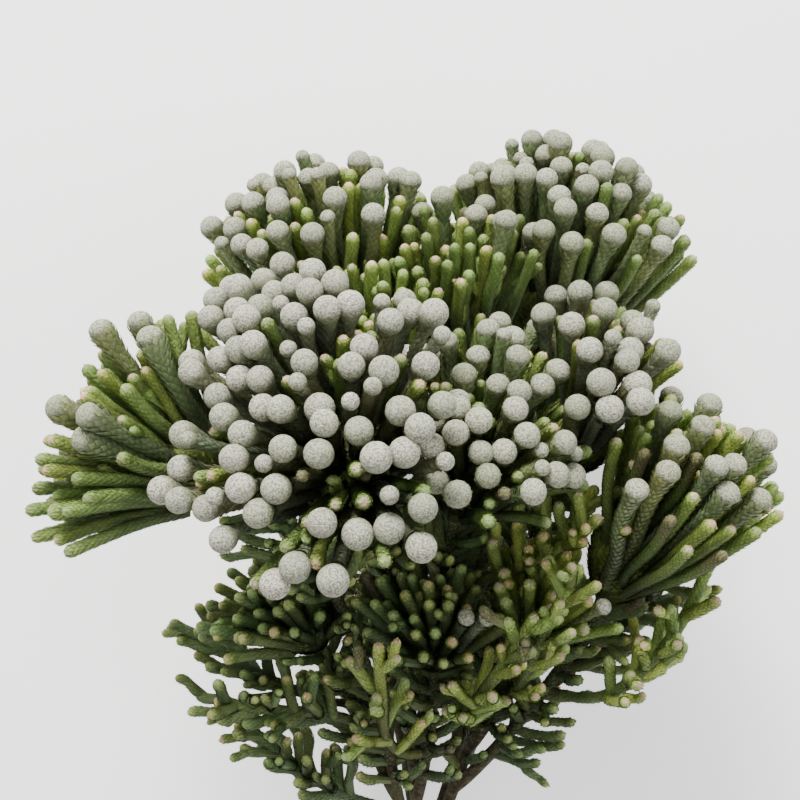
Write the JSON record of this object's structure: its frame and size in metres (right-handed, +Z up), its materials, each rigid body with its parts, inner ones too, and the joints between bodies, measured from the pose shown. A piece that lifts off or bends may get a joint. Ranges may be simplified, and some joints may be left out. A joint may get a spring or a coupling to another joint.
{
  "type": "brunia sprig",
  "caption": "Cut woody sprig with scale-leaved finger shoots and round silvery flower balls, lying on its side.",
  "frame": {"origin": "centre of the bounding box on the table plane that the sprig rests on", "axes": "+Z up from the table, +Y from the stem's cut end to the flower heads"},
  "size_m": [0.2882, 0.3677, 0.2152],
  "materials": {
    "wood": "rough bark",
    "head": "felted, matt",
    "leaf": "satin leaf"
  },
  "bodies": {
    "root": {"stem": "wood", "head_front": "head", "head_middle": "head", "head_right_inner": "head", "head_right_outer": "head", "head_right_far": "head", "head_left": "head", "head_back_right": "head", "head_back_left": "head", "head_back_centre": "head", "head_centre": "head", "head_low_left": "head", "head_low_centre": "head", "head_low_right": "head", "head_under_left": "head", "head_under_right": "head", "spray_left_high": "leaf", "spray_left_mid": "leaf", "spray_left_low": "leaf", "spray_fork": "leaf", "spray_front": "leaf", "spray_right": "leaf", "spray_right_mid": "leaf", "spray_right_low": "leaf", "spray_under_left": "leaf", "spray_under_right": "leaf"}
  },
  "joints": []
}
